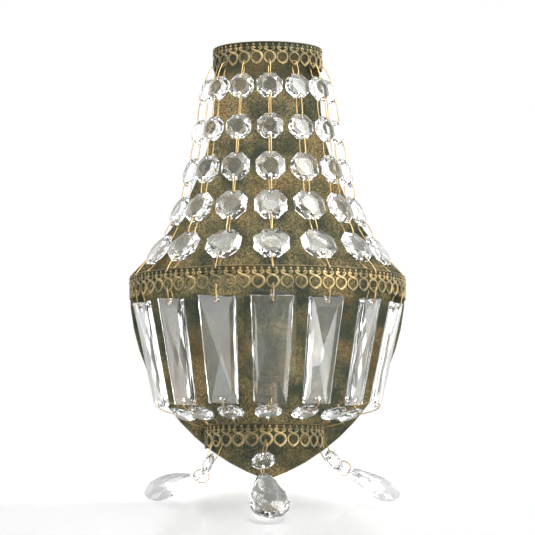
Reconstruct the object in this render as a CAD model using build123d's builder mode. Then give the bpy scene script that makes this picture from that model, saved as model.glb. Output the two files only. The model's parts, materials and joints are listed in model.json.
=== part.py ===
"""Crystal wall sconce: a shield-shaped back pan carries three half-round pierced galleries.

Strings of octagon beads run from the top gallery to the middle one, long prisms hang from the middle
gallery and are tied to the bottom one, and three almond drops swing free under the bottom gallery.

Millimetres. +Z is up and the front faces -Y. The wall is the plane Y = 0, and the origin is the point
of the wall half way between the two fixing slots. Heights are measured from the lowest tip of the pan.
An azimuth is measured about a gallery's own upright centre line, from the front towards +X.
"""

import os
from math import atan2, cos, hypot, pi, radians, sin

from build123d import *

# ---------------------------------------------------------------- driving dimensions: back pan
PAN_HEIGHT = 270.0  # from the tip to the flat top edge
PAN_HALF_WIDTH = 86.0  # at the shoulders, where the middle gallery ends
PAN_TOP_HALF_WIDTH = 34.2  # at the flat top edge, where the top gallery ends
SHOULDER_LOW = 120.0  # height at which the lower curve turns upright
SHOULDER_HIGH = 126.4  # height at which the neck starts to draw in
NECK_POINT = (46.3, 182.0)  # half width and height of a point on the neck's hollow curve
PAN_DEPTH = 12.0  # the rim, turned back to the wall
SHEET = 1.2  # metal of the pan and of the galleries

# ---------------------------------------------------------------- driving dimensions: galleries
BAND_HEIGHT = 14.6  # top rim to picot
RING_DROP = 10.0  # top rim to the centres of the rings
RING_HOLE = 4.4  # across the corners of each ring's hole
PICOT_WIDTH = 1.4  # flat at the foot of each ring's point
NOTCH_RISE = 1.2  # how far the notch between two rings runs up past their centres
HOOK_DROP = 2.4  # top rim to the holes that take a string's lowest link
HOOK_HOLE = 2.8
TAB_WIDTH = 8.0  # ends turned in flat against the pan

TOP_RADIUS = PAN_TOP_HALF_WIDTH
TOP_RINGS_EACH_SIDE = 6
TOP_PITCH = 13.6  # degrees from ring to ring
MIDDLE_RADIUS = PAN_HALF_WIDTH
MIDDLE_EDGE = 126.3  # height of the middle gallery's top rim
MIDDLE_RINGS_EACH_SIDE = 15
MIDDLE_PITCH = 5.8
BOTTOM_RADIUS = 37.2
BOTTOM_EDGE = 33.8
BOTTOM_SHIFT = -2.2  # the bottom gallery sits a little to one side of the centre line
BOTTOM_RINGS_EACH_SIDE = 6
BOTTOM_PITCH = 13.5

# ---------------------------------------------------------------- driving dimensions: crystals
COLUMNS = (-3, -2, -1, 0, 1, 2, 3)
TOP_RINGS_PER_COLUMN = 2
MIDDLE_RINGS_PER_COLUMN = 4
BOTTOM_RINGS_PER_COLUMN = 2

BEAD_WIDTHS = (16.0, 16.0, 18.0, 20.0, 22.0)  # across the flats, from the top down
BEAD_HEIGHTS = (241.8, 215.8, 190.4, 165.9, 140.8)
BEAD_REACHES = (0.11, 0.21, 0.315, 0.46, 0.735)  # share of the way out from the top gallery to the middle
TIE_BEAD_WIDTH = 16.0
DROP_BEAD_WIDTH = 14.0
BEAD_DEPTH = 6.0  # from table to table
BEAD_TABLE = 0.55  # table width as a share of the bead's
BEAD_HOLE = 2.2
HOLE_TO_EDGE = 2.2  # from the centre of a hole to the crystal's nearest edge

PRISM_LENGTH = 66.0
PRISM_TOP_WIDTH = 26.0
PRISM_FOOT_WIDTH = 20.0
PRISM_RIM = 4.4  # thickness at the edges and the flat ends
PRISM_RISE = 1.6  # how far the crossed facets rise from each face
PRISM_END = 6.5  # flat length at each end, where the hole is
PRISM_CROSSING = 0.47  # height of the crossing as a share of the length
PRISM_HEAD_GAP = 3.2  # from the middle gallery's picots down to the prism
PRISM_LEAN = 13.0  # degrees from upright, foot towards the pan
PRISM_SEAT_IN = 1.8  # how far the prism's head hangs inside the gallery's line

ALMOND_LENGTH = 38.0
ALMOND_WIDTH = 24.0
ALMOND_RIM = 2.4
ALMOND_CROWN = 3.6
ALMOND_SHOULDER = 0.66  # of the outline, at the row of corners between girdle and table
ALMOND_SHOULDER_RISE = 0.7  # of the crown, at that row
ALMOND_TABLE = 0.36
ALMOND_TAPER = 0.42  # how much narrower than an ellipse the head is, and wider the foot
ALMOND_BELLY = 1 / 6  # of the length, from the middle down to the middle of the table
ALMOND_HOLE_IN = 1.6  # from the head to the hole, as a share of a bead's HOLE_TO_EDGE

WIRE = 0.8
LINK_DEPTH = 3.0  # from a crystal's middle plane to the centre of the wire in front or behind
BAND_LINK_DEPTH = 2.4  # the same, where a link passes through a gallery
SMALL_SIDES = 6  # flats that stand for the round of a rivet or stud
TUBE_SIDES = 12
CUP_SIDES = 16
RING_SIDES = 6
BELLY_CHORDS = 12  # straight runs that stand for each lower curve of the pan
NECK_CHORDS = 8

# ---------------------------------------------------------------- driving dimensions: swinging drops
DROP_LINK = 9.0  # from the ring's lower bar to the bead's upper hole
DROP_LINK_SLACK = 0.3  # between a drop's link and the metal it swings round
DROP_RING_RADIUS = 4.8  # centre line of the jump ring between bead and almond
# Each drop: its ring on the bottom gallery, the link's turn in that ring, then how it lies: the link's swing
# outwards, the bead's and the jump ring's sway, and the almond's tilt on the ring. All but the first are in
# degrees, from square to the gallery and from hanging straight down.
DROPS = {
    "left": (-4, -28.0, 24.0, -35.0, -3.0, 42.0),
    "centre": (0, 12.0, -46.0, 8.0, -1.0, 90.0),
    "right": (6, -28.0, 32.0, 74.0, -50.0, 25.0),
}

# ---------------------------------------------------------------- driving dimensions: fixing to the wall
MOUNT_HEIGHT = 183.0  # from the tip up to the middle of the bracket
BRACKET_LENGTH = 100.0
BRACKET_WIDTH = 18.0
BRACKET_THICKNESS = 2.0
BRACKET_HOLE = 11.0  # for the supply wires
SLOT_SPACING = 60.0
SLOT_LENGTH = 9.0
SLOT_WIDTH = 4.5
STUD_SPACING = 80.0
STUD = 4.0
STUD_CLEARANCE = 0.05
NUT_WIDTH = 7.0
NUT_HEIGHT = 2.4
CAP_HEIGHT = 4.2
CAP_BEVEL = 0.7  # of the cap's height above its flats

# ---------------------------------------------------------------- driving dimensions: lamp
ARM_HEIGHT = 49.0  # of the arm where it leaves the pan
ARM = 9.0
ARM_WALL = 1.0
ARM_BEND = 6.0  # cut across the corner where the arm turns up
LAMP_REACH = 42.0  # from the pan's face to the lamp's axis
CUP_FOOT = 59.0
CUP_TOP = 111.0
CUP = 32.0
CUP_WALL = 1.0
CUP_ROUND = 7.0  # bevel round the cup's foot
HOLDER = 25.0
HOLDER_TOP = 114.0
SOCKET = 14.0  # bore of the screw shell
SOCKET_DEPTH = 26.0
SHELL_WALL = 0.5
FIT = 0.05  # radial clearance of one piece inside another
ARM_NUT_WIDTH = 13.0
ARM_NUT_HEIGHT = 3.0
TERMINAL = (24.0, 7.6, 15.0)  # width, depth and height of the terminal block
TERMINAL_CENTRE = -16.0  # below the middle of the bracket
TERMINAL_PITCH = 8.0
TERMINAL_SCREW = 3.0
GROMMET_LIP = 1.4
GROMMET_WALL = 1.2
LEAD = 2.8
LEAD_BENDS = (30.0, 55.0, 80.0)  # below the terminal block, where the lead turns on its way down
LEAD_SWAY = 1.0  # how far it swings aside at the second of them
LEAD_LIFT = 0.5  # how far it stands off its line, forwards at the second bend and back at the arm
LEAD_ENTRY = 10.0  # above the arm, where it turns towards its mouth
LEAD_RADII = [80.0, 50.0, 20.0, 12.0, 4.0, 6.0, 6.0]

RIVET = 2.6
RIVET_HEAD = 4.6

os.makedirs("parts", exist_ok=True)


def write(piece, name):
    """Labels a finished piece and writes it under its own name."""
    piece.part.label = name
    export_step(piece.part, f"parts/{name}.step")


def level(height):
    """Z of a height above the pan's tip."""
    return height - MOUNT_HEIGHT


FACE = -PAN_DEPTH  # Y of the pan's front face
UP = Vector(0, 0, 1)
TOP_EDGE = PAN_HEIGHT


# ================================================================ back pan
with BuildLine() as pan_side:
    belly = TangentArc((PAN_HALF_WIDTH, level(SHOULDER_LOW)), (0, level(0)), tangent=(0, -1))
    hollow = ThreePointArc(
        (PAN_HALF_WIDTH, level(SHOULDER_HIGH)),
        (NECK_POINT[0], level(NECK_POINT[1])),
        (PAN_TOP_HALF_WIDTH, level(PAN_HEIGHT)),
    )
side_points = [belly @ (1 - i / BELLY_CHORDS) for i in range(BELLY_CHORDS + 1)]
side_points += [hollow @ (i / NECK_CHORDS) for i in range(NECK_CHORDS + 1)]
with BuildSketch() as pan_outline:
    with BuildLine():
        Polyline(*side_points, (0, level(PAN_HEIGHT)))
        mirror(about=Plane.YZ)
    make_face()

stud_heights = (STUD_SPACING / 2, -STUD_SPACING / 2)
rivet_seats = []
for radius, edge, shift in (
    (TOP_RADIUS, TOP_EDGE, 0),
    (MIDDLE_RADIUS, MIDDLE_EDGE, 0),
    (BOTTOM_RADIUS, BOTTOM_EDGE, BOTTOM_SHIFT),
):
    for side in (-1, 1):
        rivet_seats.append((shift + side * (radius - SHEET - TAB_WIDTH / 2), level(edge - BAND_HEIGHT / 2)))

with BuildPart() as back_plate:
    with BuildSketch(Plane.XZ):
        add(pan_outline.sketch)
    extrude(amount=PAN_DEPTH)
    with BuildSketch(Plane.XZ):
        offset(pan_outline.sketch, amount=-SHEET)
    extrude(amount=PAN_DEPTH - SHEET, mode=Mode.SUBTRACT)
    with BuildSketch(Plane.XZ):
        with Locations(*((0, z) for z in stud_heights)):
            RegularPolygon(STUD / 2 + 4 * STUD_CLEARANCE, SMALL_SIDES)
        with Locations((0, level(ARM_HEIGHT))):
            RegularPolygon(ARM / 2 + FIT, TUBE_SIDES)
        with Locations(*rivet_seats):
            RegularPolygon(RIVET / 2, SMALL_SIDES)
    extrude(amount=PAN_DEPTH, mode=Mode.SUBTRACT)
write(back_plate, "back_plate")


# ================================================================ pierced galleries
def on_band(radius, azimuth, shift=0.0):
    """The point of a gallery's line at an azimuth, and the outward direction there, both level."""
    out = Vector(sin(radians(azimuth)), -cos(radians(azimuth)), 0)
    return Vector(shift, FACE, 0) + out * radius, out


def band_plane(radius, azimuth, height, shift=0.0):
    """An upright plane on a gallery, facing outwards, with its X along the gallery and its Y up."""
    point, out = on_band(radius, azimuth, shift)
    return Plane(origin=point + UP * level(height), x_dir=UP.cross(out), z_dir=out)


def gallery(radius, edge, pitch, each_side, hooks, shift=0.0):
    """A half-round pierced strip: one flat facet for each ring, ends turned in flat against the pan."""
    joints = [(i + 0.5) * pitch for i in range(-each_side, each_side)]
    facet = pitch * radius * radians(1)
    azimuths = [-90.0, *joints, 90.0]
    outer = [on_band(radius, a, shift)[0] for a in azimuths]
    inner = [on_band(radius - SHEET, a, shift)[0] for a in reversed(azimuths)]
    foot = -(BAND_HEIGHT - RING_DROP)
    with BuildPart() as band:
        with BuildSketch(Plane.XY.offset(level(edge - BAND_HEIGHT))):
            with BuildLine():
                Polyline(*((p.X, p.Y) for p in outer + inner), close=True)
            make_face()
            for side in (-1, 1):
                with Locations((shift + side * (radius - SHEET / 2 - TAB_WIDTH / 2), FACE - SHEET / 2)):
                    Rectangle(TAB_WIDTH, SHEET)
        extrude(amount=BAND_HEIGHT)
        for i in range(-each_side, each_side + 1):
            with BuildSketch(band_plane(radius, i * pitch, edge - RING_DROP, shift)):
                RegularPolygon(RING_HOLE / 2, RING_SIDES)
        for azimuth in hooks:
            with BuildSketch(band_plane(radius, azimuth, edge - HOOK_DROP, shift)):
                Rectangle(HOOK_HOLE / 2, HOOK_HOLE)
        extrude(amount=-2 * SHEET, mode=Mode.SUBTRACT)
        half = (facet - PICOT_WIDTH) / 2
        for azimuth in joints:
            with BuildSketch(band_plane(radius, azimuth, edge - RING_DROP, shift)):
                with BuildLine():
                    Polyline((0, NOTCH_RISE), (half, foot - SHEET), (-half, foot - SHEET), close=True)
                make_face()
        extrude(amount=2 * SHEET, both=True, mode=Mode.SUBTRACT)
        with BuildSketch(Plane.XZ.offset(-FACE)):
            for seat in rivet_seats:
                with Locations(seat):
                    RegularPolygon(RIVET / 2, SMALL_SIDES)
        extrude(amount=SHEET, mode=Mode.SUBTRACT)
    return band


column_azimuths = {
    "top": [c * TOP_RINGS_PER_COLUMN * TOP_PITCH for c in COLUMNS],
    "middle": [c * MIDDLE_RINGS_PER_COLUMN * MIDDLE_PITCH for c in COLUMNS],
    "bottom": [c * BOTTOM_RINGS_PER_COLUMN * BOTTOM_PITCH for c in COLUMNS],
}
top_band = gallery(TOP_RADIUS, TOP_EDGE, TOP_PITCH, TOP_RINGS_EACH_SIDE, [])
write(top_band, "top_band")
middle_band = gallery(
    MIDDLE_RADIUS, MIDDLE_EDGE, MIDDLE_PITCH, MIDDLE_RINGS_EACH_SIDE, column_azimuths["middle"]
)
write(middle_band, "middle_band")
bottom_band = gallery(
    BOTTOM_RADIUS, BOTTOM_EDGE, BOTTOM_PITCH, BOTTOM_RINGS_EACH_SIDE, column_azimuths["bottom"], BOTTOM_SHIFT
)
write(bottom_band, "bottom_band")

with BuildPart() as band_rivets:
    with BuildSketch(Plane.XZ.offset(PAN_DEPTH - SHEET)):
        with Locations(*rivet_seats):
            RegularPolygon(RIVET / 2, SMALL_SIDES)
    extrude(amount=2 * SHEET)
    with BuildSketch(Plane.XZ.offset(PAN_DEPTH + SHEET)):
        with Locations(*rivet_seats):
            RegularPolygon(RIVET_HEAD / 2, SMALL_SIDES)
    extrude(amount=SHEET)
write(band_rivets, "band_rivets")


# ================================================================ crystals, each made lying in its own plane
def octagon_bead(width, hole_sides=4):
    """An octagon bead facing +Z: a sharp girdle, eight bevels and a table on each face, and two holes."""
    corner = width / 2 / cos(radians(22.5))
    corners = []
    for share, height in ((1, 0), (BEAD_TABLE, BEAD_DEPTH / 2), (BEAD_TABLE, -BEAD_DEPTH / 2)):
        for i in range(8):
            turn = radians(22.5 + 45 * i)
            corners.append((corner * share * cos(turn), corner * share * sin(turn), height))
    with BuildPart() as bead:
        ConvexPolyhedron(corners)
        with BuildSketch():
            with Locations((0, bead_hole(width)), (0, -bead_hole(width))):
                RegularPolygon(BEAD_HOLE / 2, hole_sides, rotation=45)
        extrude(amount=BEAD_DEPTH, both=True, mode=Mode.SUBTRACT)
    return bead.part


def bead_hole(width):
    """Distance from a bead's centre to each of its holes."""
    return width / 2 - HOLE_TO_EDGE


beads = {width: octagon_bead(width) for width in {*BEAD_WIDTHS, TIE_BEAD_WIDTH}}
drop_bead = octagon_bead(DROP_BEAD_WIDTH, hole_sides=8)

prism_hole = PRISM_LENGTH / 2 - PRISM_END / 2
with BuildPart() as prism:
    with BuildSketch():
        Polygon(
            (-PRISM_TOP_WIDTH / 2, PRISM_LENGTH / 2),
            (PRISM_TOP_WIDTH / 2, PRISM_LENGTH / 2),
            (PRISM_FOOT_WIDTH / 2, -PRISM_LENGTH / 2),
            (-PRISM_FOOT_WIDTH / 2, -PRISM_LENGTH / 2),
            align=None,
        )
    extrude(amount=PRISM_RIM / 2, both=True)
    taper = (PRISM_TOP_WIDTH - PRISM_FOOT_WIDTH) / 2 / PRISM_LENGTH
    middle_width = (PRISM_TOP_WIDTH + PRISM_FOOT_WIDTH) / 2
    for face in (1, -1):
        with BuildSketch(Plane.XY.offset(face * PRISM_RIM / 2), mode=Mode.PRIVATE) as crossed:
            end = PRISM_LENGTH / 2 - PRISM_END
            wide = middle_width / 2 + taper * end - PRISM_RISE / 2
            narrow = middle_width / 2 - taper * end - PRISM_RISE / 2
            Polygon((-wide, end), (wide, end), (narrow, -end), (-narrow, -end), align=None)
        crossing = Vertex(0, (PRISM_CROSSING - 0.5) * PRISM_LENGTH, face * (PRISM_RIM / 2 + PRISM_RISE))
        loft(sections=[crossed.sketch.face(), crossing])
    with BuildSketch():
        with Locations((0, prism_hole), (0, -prism_hole)):
            RegularPolygon(BEAD_HOLE / 2, 4, rotation=45)
    extrude(amount=PRISM_RIM, both=True, mode=Mode.SUBTRACT)


def almond_outline(share, centre, height, first=0):
    """Corners of the almond's outline, head up, at a share of its size about a point of its middle line."""
    corners = []
    for turn in range(first, 360, 30):
        along = cos(radians(turn)) * ALMOND_LENGTH / 2
        across = sin(radians(turn)) * (1 - ALMOND_TAPER * cos(radians(turn))) * ALMOND_WIDTH / 2
        corners.append((across * share, centre + (along - centre) * share, height))
    return corners


almond_hole = ALMOND_LENGTH / 2 - ALMOND_HOLE_IN * HOLE_TO_EDGE
almond_belly = -ALMOND_LENGTH * ALMOND_BELLY
almond_corners = []
for face in (1, -1):
    shoulder = face * (ALMOND_RIM / 2 + ALMOND_CROWN * ALMOND_SHOULDER_RISE)
    almond_corners += almond_outline(1, 0, face * ALMOND_RIM / 2)
    almond_corners += almond_outline(ALMOND_SHOULDER, almond_belly, shoulder, first=15)
    almond_corners += almond_outline(ALMOND_TABLE, almond_belly, face * (ALMOND_RIM / 2 + ALMOND_CROWN))
with BuildPart() as almond:
    ConvexPolyhedron(almond_corners)
    with BuildSketch():
        with Locations((0, almond_hole)):
            RegularPolygon(BEAD_HOLE / 2, 8)
    extrude(amount=ALMOND_RIM + ALMOND_CROWN, both=True, mode=Mode.SUBTRACT)


# ================================================================ hanging lines
def line_plane(inner, outer):
    """The upright plane of a hanging line: X runs level from the inner point to the outer, Y is up."""
    out = (outer - inner).normalized()
    return Plane(origin=(inner.X, inner.Y, 0), x_dir=out, z_dir=out.cross(UP))


def crystal_plane(line, along, height, lean):
    """A crystal's own plane in a hanging line, facing out. A lean above 0 carries its foot outwards."""
    out = line.x_dir
    face = out * cos(lean) + UP * sin(lean)
    return Plane(origin=line.from_local_coords((along, height, 0)), x_dir=UP.cross(out), z_dir=face)


def down(lean):
    """The step along a leaning crystal towards its foot, as (along, height)."""
    return sin(lean), -cos(lean)


def through(along, height, lean, depth):
    """Front and back corners of a wire that passes through a hole square to a leaning crystal."""
    step = (depth * cos(lean), depth * sin(lean))
    return (along + step[0], height + step[1]), (along - step[0], height - step[1])


def moved(point, lean, distance):
    """A point of a hanging line moved along a leaning crystal, towards its foot for a distance above 0."""
    step = down(lean)
    return point[0] + step[0] * distance, point[1] + step[1] * distance


def wire_loops(line, loops):
    """Closed wire links, all lying in the plane of one hanging line."""
    with BuildPart() as links:
        with BuildSketch(line):
            for corners in loops:
                with BuildLine():
                    Polyline(*corners, close=True)
                make_face()
            offset(amount=WIRE / 2, kind=Kind.INTERSECTION)
            offset(amount=-WIRE, kind=Kind.INTERSECTION, mode=Mode.SUBTRACT)
        extrude(amount=WIRE / 2, both=True)
    return links


ring_floor = WIRE / 2 + FIT - RING_HOLE / 2 * cos(pi / RING_SIDES)  # below a ring's centre
hook_roof = HOOK_HOLE / 2 - WIRE / 2 - FIT  # above a hook hole's centre
strip = SHEET / 2

# ---------------------------------------------------------------- upper strings of beads
for number, column in enumerate(COLUMNS):
    inner, _ = on_band(TOP_RADIUS - strip, column_azimuths["top"][number])
    outer, _ = on_band(MIDDLE_RADIUS - strip, column_azimuths["middle"][number])
    line = line_plane(inner, outer)
    span = (outer - inner).length
    start = (0, level(TOP_EDGE - RING_DROP) + ring_floor)
    end = (span, level(MIDDLE_EDGE - HOOK_DROP) + hook_roof)
    centres = [(span * reach, level(height)) for reach, height in zip(BEAD_REACHES, BEAD_HEIGHTS)]
    stops = [start, *centres, end]
    leans = [
        atan2(stops[i + 1][0] - stops[i - 1][0], stops[i - 1][1] - stops[i + 1][1])
        for i in range(1, len(stops) - 1)
    ]
    with BuildPart() as string_beads:
        for width, centre, lean in zip(BEAD_WIDTHS, centres, leans):
            with Locations(crystal_plane(line, *centre, lean)):
                add(beads[width])
    write(string_beads, f"string_beads_{number + 1}")
    upper_ends = [through(*start, 0, BAND_LINK_DEPTH)]
    lower_ends = []
    for width, centre, lean in zip(BEAD_WIDTHS, centres, leans):
        lower_ends.append(through(*moved(centre, lean, -bead_hole(width)), lean, LINK_DEPTH))
        upper_ends.append(through(*moved(centre, lean, bead_hole(width)), lean, LINK_DEPTH))
    lower_ends.append(through(*end, 0, BAND_LINK_DEPTH))
    string_links = wire_loops(line, [(a[0], b[0], b[1], a[1]) for a, b in zip(upper_ends, lower_ends)])
    write(string_links, f"string_links_{number + 1}")

# ---------------------------------------------------------------- prisms and the beads that tie them
tie_planes = []
for number, column in enumerate(COLUMNS):
    inner, _ = on_band(BOTTOM_RADIUS - strip, column_azimuths["bottom"][number], BOTTOM_SHIFT)
    outer, _ = on_band(MIDDLE_RADIUS - strip, column_azimuths["middle"][number])
    line = line_plane(inner, outer)
    span = (outer - inner).length
    prism_lean = -radians(PRISM_LEAN)
    head = (span - PRISM_SEAT_IN, level(MIDDLE_EDGE - BAND_HEIGHT - PRISM_HEAD_GAP))
    middle = moved(head, prism_lean, PRISM_LENGTH / 2)
    upper_hole = moved(middle, prism_lean, -prism_hole)
    foot_hole = moved(middle, prism_lean, prism_hole)
    with BuildPart() as hung_prism:
        with Locations(crystal_plane(line, *middle, prism_lean)):
            add(prism.part)
    write(hung_prism, f"prism_{number + 1}")
    hook = (0, level(BOTTOM_EDGE - HOOK_DROP) + hook_roof)
    tie = ((foot_hole[0] + hook[0]) / 2, (foot_hole[1] + hook[1]) / 2)
    tie_lean = atan2(hook[0] - foot_hole[0], foot_hole[1] - hook[1])
    tie_planes.append(crystal_plane(line, *tie, tie_lean))
    ring_bar = (span, level(MIDDLE_EDGE - RING_DROP) + ring_floor)
    ring_front, ring_back = through(*ring_bar, 0, BAND_LINK_DEPTH)
    head_front, head_back = through(*upper_hole, prism_lean, LINK_DEPTH)
    foot_front, foot_back = through(*foot_hole, prism_lean, LINK_DEPTH)
    tie_hole = bead_hole(TIE_BEAD_WIDTH)
    high_front, high_back = through(*moved(tie, tie_lean, -tie_hole), tie_lean, LINK_DEPTH)
    low_front, low_back = through(*moved(tie, tie_lean, tie_hole), tie_lean, LINK_DEPTH)
    hook_front, hook_back = through(*hook, 0, BAND_LINK_DEPTH - strip)
    past_foot = moved(foot_front, prism_lean, PRISM_END / 2 + WIRE)
    over_rim = moved(hook_back, 0, -(HOOK_DROP - hook_roof + WIRE))
    prism_links = wire_loops(
        line,
        [
            (ring_front, head_front, head_back, ring_back),
            (foot_front, past_foot, high_front, high_back, foot_back),
            (low_front, hook_front, hook_back, over_rim, low_back),
        ],
    )
    write(prism_links, f"prism_links_{number + 1}")

with BuildPart() as tie_beads:
    for place in tie_planes:
        with Locations(place):
            add(beads[TIE_BEAD_WIDTH])
write(tie_beads, "tie_beads")


# ================================================================ swinging drops
def ring_bar_below(edge):
    """Height and half height of the metal under a ring's hole, which a drop's link goes round."""
    roof = -RING_HOLE / 2 * cos(pi / RING_SIDES)
    foot = -(BAND_HEIGHT - RING_DROP)
    return edge - RING_DROP + (roof + foot) / 2, (roof - foot) / 2


bar_height, bar_half = ring_bar_below(BOTTOM_EDGE)
link_rise = hypot(bar_half, strip) + WIRE / 2 + DROP_LINK_SLACK
drop_hole = bead_hole(DROP_BEAD_WIDTH)
with BuildPart() as drop_link_shape:
    with BuildSketch(Plane.YZ):
        with Locations(((link_rise - DROP_LINK) / 2, 0)):
            Rectangle(link_rise + DROP_LINK + WIRE, 2 * LINK_DEPTH + WIRE)
            Rectangle(link_rise + DROP_LINK - WIRE, 2 * LINK_DEPTH - WIRE, mode=Mode.SUBTRACT)
    extrude(amount=WIRE / 2, both=True)
with BuildPart() as drop_ring_shape:
    with BuildSketch(Plane.YZ):
        RegularPolygon(DROP_RING_RADIUS + WIRE / 2, TUBE_SIDES)
        RegularPolygon(DROP_RING_RADIUS - WIRE / 2, TUBE_SIDES, mode=Mode.SUBTRACT)
    extrude(amount=WIRE / 2, both=True)

for side, (ring, turn, swing, bead_sway, ring_sway, tilt) in DROPS.items():
    start = band_plane(BOTTOM_RADIUS - strip, ring * BOTTOM_PITCH, bar_height, BOTTOM_SHIFT)
    link_place = start.location * Location((0, 0, 0), (0, turn, 0)) * Location((0, 0, 0), (-swing, 0, 0))
    bead_place = link_place * Location((0, -DROP_LINK, 0), (0, 0, bead_sway))
    ring_place = bead_place * Location((0, -2 * drop_hole, 0), (0, 0, ring_sway))
    almond_place = ring_place * Location((0, -DROP_RING_RADIUS, 0), (-tilt, 0, 0))
    with BuildPart() as drop_link:
        with Locations(link_place):
            add(drop_link_shape.part)
    write(drop_link, f"{side}_drop_link")
    with BuildPart() as drop_bead_piece:
        with Locations(bead_place * Location((0, -drop_hole, 0))):
            add(drop_bead)
    write(drop_bead_piece, f"{side}_drop_bead")
    with BuildPart() as drop_ring:
        with Locations(ring_place * Location((0, -DROP_RING_RADIUS, 0))):
            add(drop_ring_shape.part)
    write(drop_ring, f"{side}_drop_ring")
    with BuildPart() as drop_almond:
        with Locations(almond_place * Location((0, -DROP_RING_RADIUS - almond_hole, 0))):
            add(almond.part)
    write(drop_almond, f"{side}_drop_almond")
    for hinge, place, axis in (
        ("link", link_place, "x"),
        ("bead", bead_place, "z"),
        ("ring", ring_place, "z"),
        ("almond", almond_place, "x"),
    ):
        turned = Plane(place)
        direction = turned.x_dir if axis == "x" else turned.z_dir
        centre = [round(v, 4) for v in turned.origin]
        print("hinge", side, hinge, centre, [round(v, 6) for v in direction])


# ================================================================ fixing to the wall
with BuildPart() as wall_bracket:
    with BuildSketch(Plane.XZ) as bracket_sketch:
        Rectangle(BRACKET_WIDTH, BRACKET_LENGTH)
        chamfer(bracket_sketch.vertices(), length=BRACKET_WIDTH / 4)
        RegularPolygon(BRACKET_HOLE / 2, TUBE_SIDES, mode=Mode.SUBTRACT)
        with Locations((0, SLOT_SPACING / 2), (0, -SLOT_SPACING / 2)):
            SlotOverall(SLOT_LENGTH, SLOT_WIDTH, rotation=90, mode=Mode.SUBTRACT)
        with Locations(*((0, z) for z in stud_heights)):
            RegularPolygon(STUD / 2 + STUD_CLEARANCE, SMALL_SIDES, mode=Mode.SUBTRACT)
    extrude(amount=BRACKET_THICKNESS)
write(wall_bracket, "wall_bracket")

with BuildPart() as studs:
    with BuildSketch(Plane.XZ):
        with Locations(*((0, z) for z in stud_heights)):
            RegularPolygon(STUD / 2, SMALL_SIDES)
    extrude(amount=PAN_DEPTH + CAP_HEIGHT - 2 * SHEET)
write(studs, "studs")

with BuildPart() as stud_nuts:
    with BuildSketch(Plane.XZ.offset(BRACKET_THICKNESS)):
        with Locations(*((0, z) for z in stud_heights)):
            RegularPolygon(NUT_WIDTH / 2, 6, major_radius=False)
            RegularPolygon(STUD / 2 + STUD_CLEARANCE, SMALL_SIDES, mode=Mode.SUBTRACT)
    extrude(amount=NUT_HEIGHT)
write(stud_nuts, "stud_nuts")

with BuildPart() as cap_nuts:
    with BuildSketch(Plane.XZ.offset(PAN_DEPTH)):
        with Locations(*((0, z) for z in stud_heights)):
            RegularPolygon(NUT_WIDTH / 2, 6, major_radius=False)
    extrude(amount=NUT_HEIGHT)
    with BuildSketch(Plane.XZ.offset(PAN_DEPTH + NUT_HEIGHT)):
        with Locations(*((0, z) for z in stud_heights)):
            RegularPolygon(NUT_WIDTH / 2, SMALL_SIDES)
    extrude(amount=CAP_HEIGHT - NUT_HEIGHT)
    chamfer(cap_nuts.faces().sort_by(Axis.Y)[0:2].edges(), length=(CAP_HEIGHT - NUT_HEIGHT) * CAP_BEVEL)
    with BuildSketch(Plane.XZ.offset(PAN_DEPTH)):
        with Locations(*((0, z) for z in stud_heights)):
            RegularPolygon(STUD / 2 + STUD_CLEARANCE, SMALL_SIDES)
    extrude(amount=CAP_HEIGHT - SHEET, mode=Mode.SUBTRACT)
write(cap_nuts, "cap_nuts")

with BuildPart() as cable_grommet:
    with BuildSketch(Plane.XZ):
        RegularPolygon(BRACKET_HOLE / 2, TUBE_SIDES)
    extrude(amount=BRACKET_THICKNESS)
    with BuildSketch(Plane.XZ.offset(BRACKET_THICKNESS)):
        RegularPolygon(BRACKET_HOLE / 2 + GROMMET_LIP, TUBE_SIDES)
    extrude(amount=GROMMET_LIP)
    with BuildSketch(Plane.XZ):
        Circle(BRACKET_HOLE / 2 - GROMMET_WALL)
    extrude(amount=PAN_DEPTH, mode=Mode.SUBTRACT)
write(cable_grommet, "cable_grommet")

terminal_front = BRACKET_THICKNESS + TERMINAL[1]
poles = [(i * TERMINAL_PITCH, TERMINAL_CENTRE) for i in (-1, 0, 1)]
screw_seats = [(x, z + end * TERMINAL[2] / 4) for x, z in poles for end in (-1, 1)]
with BuildPart() as terminal_block:
    with BuildSketch(Plane.XZ.offset(BRACKET_THICKNESS)):
        with Locations((0, TERMINAL_CENTRE)):
            Rectangle(TERMINAL[0], TERMINAL[2])
    extrude(amount=TERMINAL[1])
    with BuildSketch(Plane.XZ.offset(terminal_front)):
        with Locations(*screw_seats):
            RegularPolygon(TERMINAL_SCREW / 2 + FIT, 6)
    extrude(amount=-TERMINAL_SCREW, mode=Mode.SUBTRACT)
write(terminal_block, "terminal_block")

with BuildPart() as terminal_screws:
    with BuildSketch(Plane.XZ.offset(terminal_front - TERMINAL_SCREW)):
        with Locations(*screw_seats):
            RegularPolygon(TERMINAL_SCREW / 2, 6)
    extrude(amount=TERMINAL_SCREW - FIT)
write(terminal_screws, "terminal_screws")

# ================================================================ lamp
lamp_y = FACE - LAMP_REACH
inner_face = SHEET - PAN_DEPTH
holder_foot = CUP_FOOT + HOLDER / 2 - CUP / 2 + CUP_ROUND + CUP_WALL * 2**0.5 + 4 * FIT
arm_top = holder_foot + ARM / 2
arm_start = inner_face + ARM_NUT_HEIGHT + SHEET

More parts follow.
